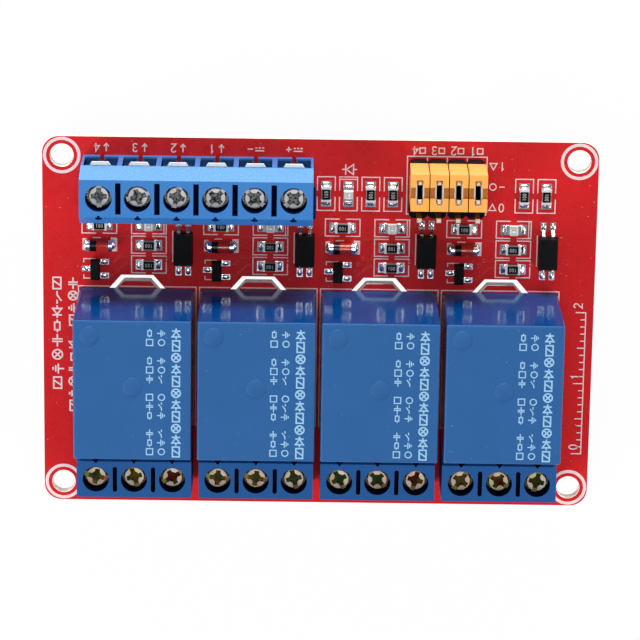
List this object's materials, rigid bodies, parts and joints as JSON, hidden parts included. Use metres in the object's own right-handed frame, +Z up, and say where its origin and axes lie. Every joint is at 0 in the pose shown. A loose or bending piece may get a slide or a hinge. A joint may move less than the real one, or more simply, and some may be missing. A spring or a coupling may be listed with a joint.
{
  "type": "relay module board",
  "caption": "Red circuit board with sealed blue relays, screw terminals along both long edges and a selector header with pull-off jumper caps.",
  "frame": {"origin": "centre of the mounting hole pattern, on the board's underside", "axes": "+X along the board's length, with the input terminal on the -X half; +Y towards the input terminal's edge; +Z up out of the parts' side"},
  "size_m": [0.0738, 0.051, 0.0188],
  "materials": {
    "board_red": "glossy solder mask",
    "solder": "bright solder",
    "terminal_plastic": "satin moulded",
    "tinned_brass": "tin plated",
    "leaf_steel": "bright",
    "screw_nickel": "nickel plated",
    "screw_yellow_zinc": "yellow passivated zinc",
    "header_plastic": "satin moulded",
    "pin_metal": "plated",
    "chip_ceramic": "glazed top, tinned ends",
    "led_resin": "clear resin",
    "diode_glass": "glass with tinned ends",
    "package_black": "moulded epoxy, tinned leads",
    "relay_plastic": "satin moulded",
    "relay_base_plastic": "moulded",
    "contact_bronze": "bronze strip",
    "soft_iron": "plated iron",
    "bobbin_plastic": "moulded",
    "winding_copper": "enamelled wire",
    "cap_plastic": "moulded",
    "clip_steel": "folded spring strip"
  },
  "bodies": {
    "module": {"board": "board_red", "solder_joints": "solder", "input_terminal_housing": "terminal_plastic", "input_terminal_contacts": "tinned_brass", "input_wire_leaves": "leaf_steel", "input_clamp_screws": "screw_nickel", "output_terminal_contacts": "tinned_brass", "output_wire_leaves": "leaf_steel", "output_clamp_screws": "screw_yellow_zinc", "header_bases": "header_plastic", "header_pins": "pin_metal", "chip_resistors": "chip_ceramic", "chip_leds": "led_resin", "glass_diodes": "diode_glass", "transistors": "package_black", "optocouplers": "package_black", "output_terminal_housing_1": "terminal_plastic", "output_terminal_housing_2": "terminal_plastic", "output_terminal_housing_3": "terminal_plastic", "output_terminal_housing_4": "terminal_plastic", "relay_cover_1": "relay_plastic", "relay_cover_2": "relay_plastic", "relay_cover_3": "relay_plastic", "relay_cover_4": "relay_plastic", "relay_base_1": "relay_base_plastic", "relay_base_2": "relay_base_plastic", "relay_base_3": "relay_base_plastic", "relay_base_4": "relay_base_plastic", "relay_pins_1": "contact_bronze", "relay_pins_2": "contact_bronze", "relay_pins_3": "contact_bronze", "relay_pins_4": "contact_bronze", "relay_yoke_1": "soft_iron", "relay_yoke_2": "soft_iron", "relay_yoke_3": "soft_iron", "relay_yoke_4": "soft_iron", "relay_bobbin_1": "bobbin_plastic", "relay_bobbin_2": "bobbin_plastic", "relay_bobbin_3": "bobbin_plastic", "relay_bobbin_4": "bobbin_plastic", "relay_winding_1": "winding_copper", "relay_winding_2": "winding_copper", "relay_winding_3": "winding_copper", "relay_winding_4": "winding_copper"},
    "armature_1": {"relay_armature_1": "soft_iron", "relay_contact_leaf_1": "contact_bronze"},
    "armature_2": {"relay_armature_2": "soft_iron", "relay_contact_leaf_2": "contact_bronze"},
    "armature_3": {"relay_armature_3": "soft_iron", "relay_contact_leaf_3": "contact_bronze"},
    "armature_4": {"relay_armature_4": "soft_iron", "relay_contact_leaf_4": "contact_bronze"},
    "selector_cap_1": {"jumper_cap_1": "cap_plastic", "jumper_clip_1": "clip_steel"},
    "selector_cap_2": {"jumper_cap_2": "cap_plastic", "jumper_clip_2": "clip_steel"},
    "selector_cap_3": {"jumper_cap_3": "cap_plastic", "jumper_clip_3": "clip_steel"},
    "selector_cap_4": {"jumper_cap_4": "cap_plastic", "jumper_clip_4": "clip_steel"}
  },
  "joints": [
    {"name": "armature_swing_1", "type": "hinge", "parent": "module", "child": "armature_1", "pos_m": [-0.0243, 0.0012, 0.01196], "axis": [1, 0, 0], "range_deg": [0, 3], "stiffness_Nm_per_rad": 0.004, "springref_deg": -11.46},
    {"name": "armature_swing_2", "type": "hinge", "parent": "module", "child": "armature_2", "pos_m": [-0.0081, 0.0012, 0.01196], "axis": [1, 0, 0], "range_deg": [0, 3], "stiffness_Nm_per_rad": 0.004, "springref_deg": -11.46},
    {"name": "armature_swing_3", "type": "hinge", "parent": "module", "child": "armature_3", "pos_m": [0.0081, 0.0012, 0.01196], "axis": [1, 0, 0], "range_deg": [0, 3], "stiffness_Nm_per_rad": 0.004, "springref_deg": -11.46},
    {"name": "armature_swing_4", "type": "hinge", "parent": "module", "child": "armature_4", "pos_m": [0.0243, 0.0012, 0.01196], "axis": [1, 0, 0], "range_deg": [0, 3], "stiffness_Nm_per_rad": 0.004, "springref_deg": -11.46},
    {"name": "cap_pull_1", "type": "slide", "parent": "module", "child": "selector_cap_1", "axis": [0, 0, 1], "range_m": [0, 0.0065]},
    {"name": "cap_pull_2", "type": "slide", "parent": "module", "child": "selector_cap_2", "axis": [0, 0, 1], "range_m": [0, 0.0065]},
    {"name": "cap_pull_3", "type": "slide", "parent": "module", "child": "selector_cap_3", "axis": [0, 0, 1], "range_m": [0, 0.0065]},
    {"name": "cap_pull_4", "type": "slide", "parent": "module", "child": "selector_cap_4", "axis": [0, 0, 1], "range_m": [0, 0.0065]}
  ]
}
